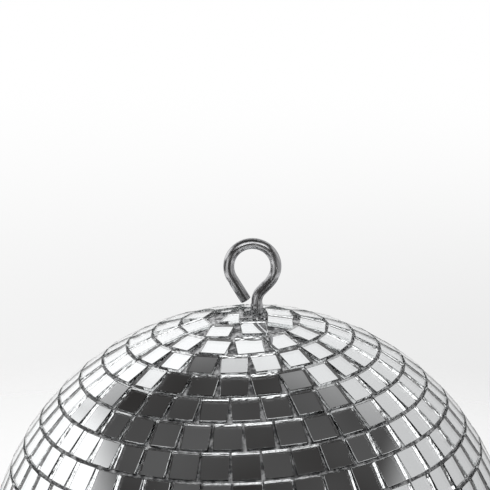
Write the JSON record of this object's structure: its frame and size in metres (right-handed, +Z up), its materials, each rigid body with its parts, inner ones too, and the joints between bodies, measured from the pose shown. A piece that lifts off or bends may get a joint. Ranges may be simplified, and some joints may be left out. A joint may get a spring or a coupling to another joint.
{
  "type": "mirror ball",
  "caption": "Hanging mirror ball: a hollow core covered in rings of square mirror tiles, with a bent-wire hanging eye that screws into its top.",
  "frame": {"origin": "the point on the eye's stem axis where a hook bears, under the top of the loop", "axes": "+Z up along the eye's stem, away from the ball; the loop lies in the XZ plane, with its free end towards -X"},
  "size_m": [0.2004, 0.2006, 0.2288],
  "materials": {
    "mirror_glass": "1.5 mm clear float glass silvered on the back, cut edges slightly green",
    "eye_chrome": "bright plated steel wire with fine drawing marks",
    "zinc_plate": "bright zinc plate",
    "core_plastic": "black moulded plastic",
    "tile_glue": "dark grey set glue, uneven"
  },
  "bodies": {
    "ball": {"glue_lower": "tile_glue", "glue_upper": "tile_glue", "load_washer": "zinc_plate", "lower_shell": "core_plastic", "nut_retainer": "zinc_plate", "retainer_screws": "zinc_plate", "seam_band": "core_plastic", "stem_nut": "zinc_plate", "tile_bottom_centre": "mirror_glass", "tile_row_01": "mirror_glass", "tile_row_02": "mirror_glass", "tile_row_03": "mirror_glass", "tile_row_04": "mirror_glass", "tile_row_05": "mirror_glass", "tile_row_06": "mirror_glass", "tile_row_07": "mirror_glass", "tile_row_08": "mirror_glass", "tile_row_09": "mirror_glass", "tile_row_10": "mirror_glass", "tile_row_11": "mirror_glass", "tile_row_12": "mirror_glass", "tile_row_13": "mirror_glass", "tile_row_14": "mirror_glass", "tile_row_15": "mirror_glass", "tile_row_16": "mirror_glass", "tile_row_17": "mirror_glass", "tile_row_18": "mirror_glass", "tile_row_19": "mirror_glass", "tile_row_20": "mirror_glass", "tile_row_21": "mirror_glass", "tile_row_22": "mirror_glass", "tile_row_23": "mirror_glass", "tile_row_24": "mirror_glass", "tile_row_25": "mirror_glass", "tile_row_26": "mirror_glass", "tile_row_27": "mirror_glass", "tile_row_28": "mirror_glass", "top_cut_tiles": "mirror_glass", "upper_shell": "core_plastic"},
    "washer": {"captive_washer": "zinc_plate"},
    "eye": {"eye_bolt": "eye_chrome"}
  },
  "joints": [
    {"name": "eye_lift", "type": "slide", "parent": "ball", "child": "washer", "axis": [0, 0, 1], "range_m": [0, 0.0212]},
    {"name": "eye_turn", "type": "hinge", "parent": "washer", "child": "eye", "pos_m": [0, 0, -0.02602], "axis": [0, 0, 1], "range_deg": [0, 7110]}
  ],
  "couplings": [
    {"joint": "eye_lift", "follows": "eye_turn", "m_per_rad": 0.00016839}
  ]
}
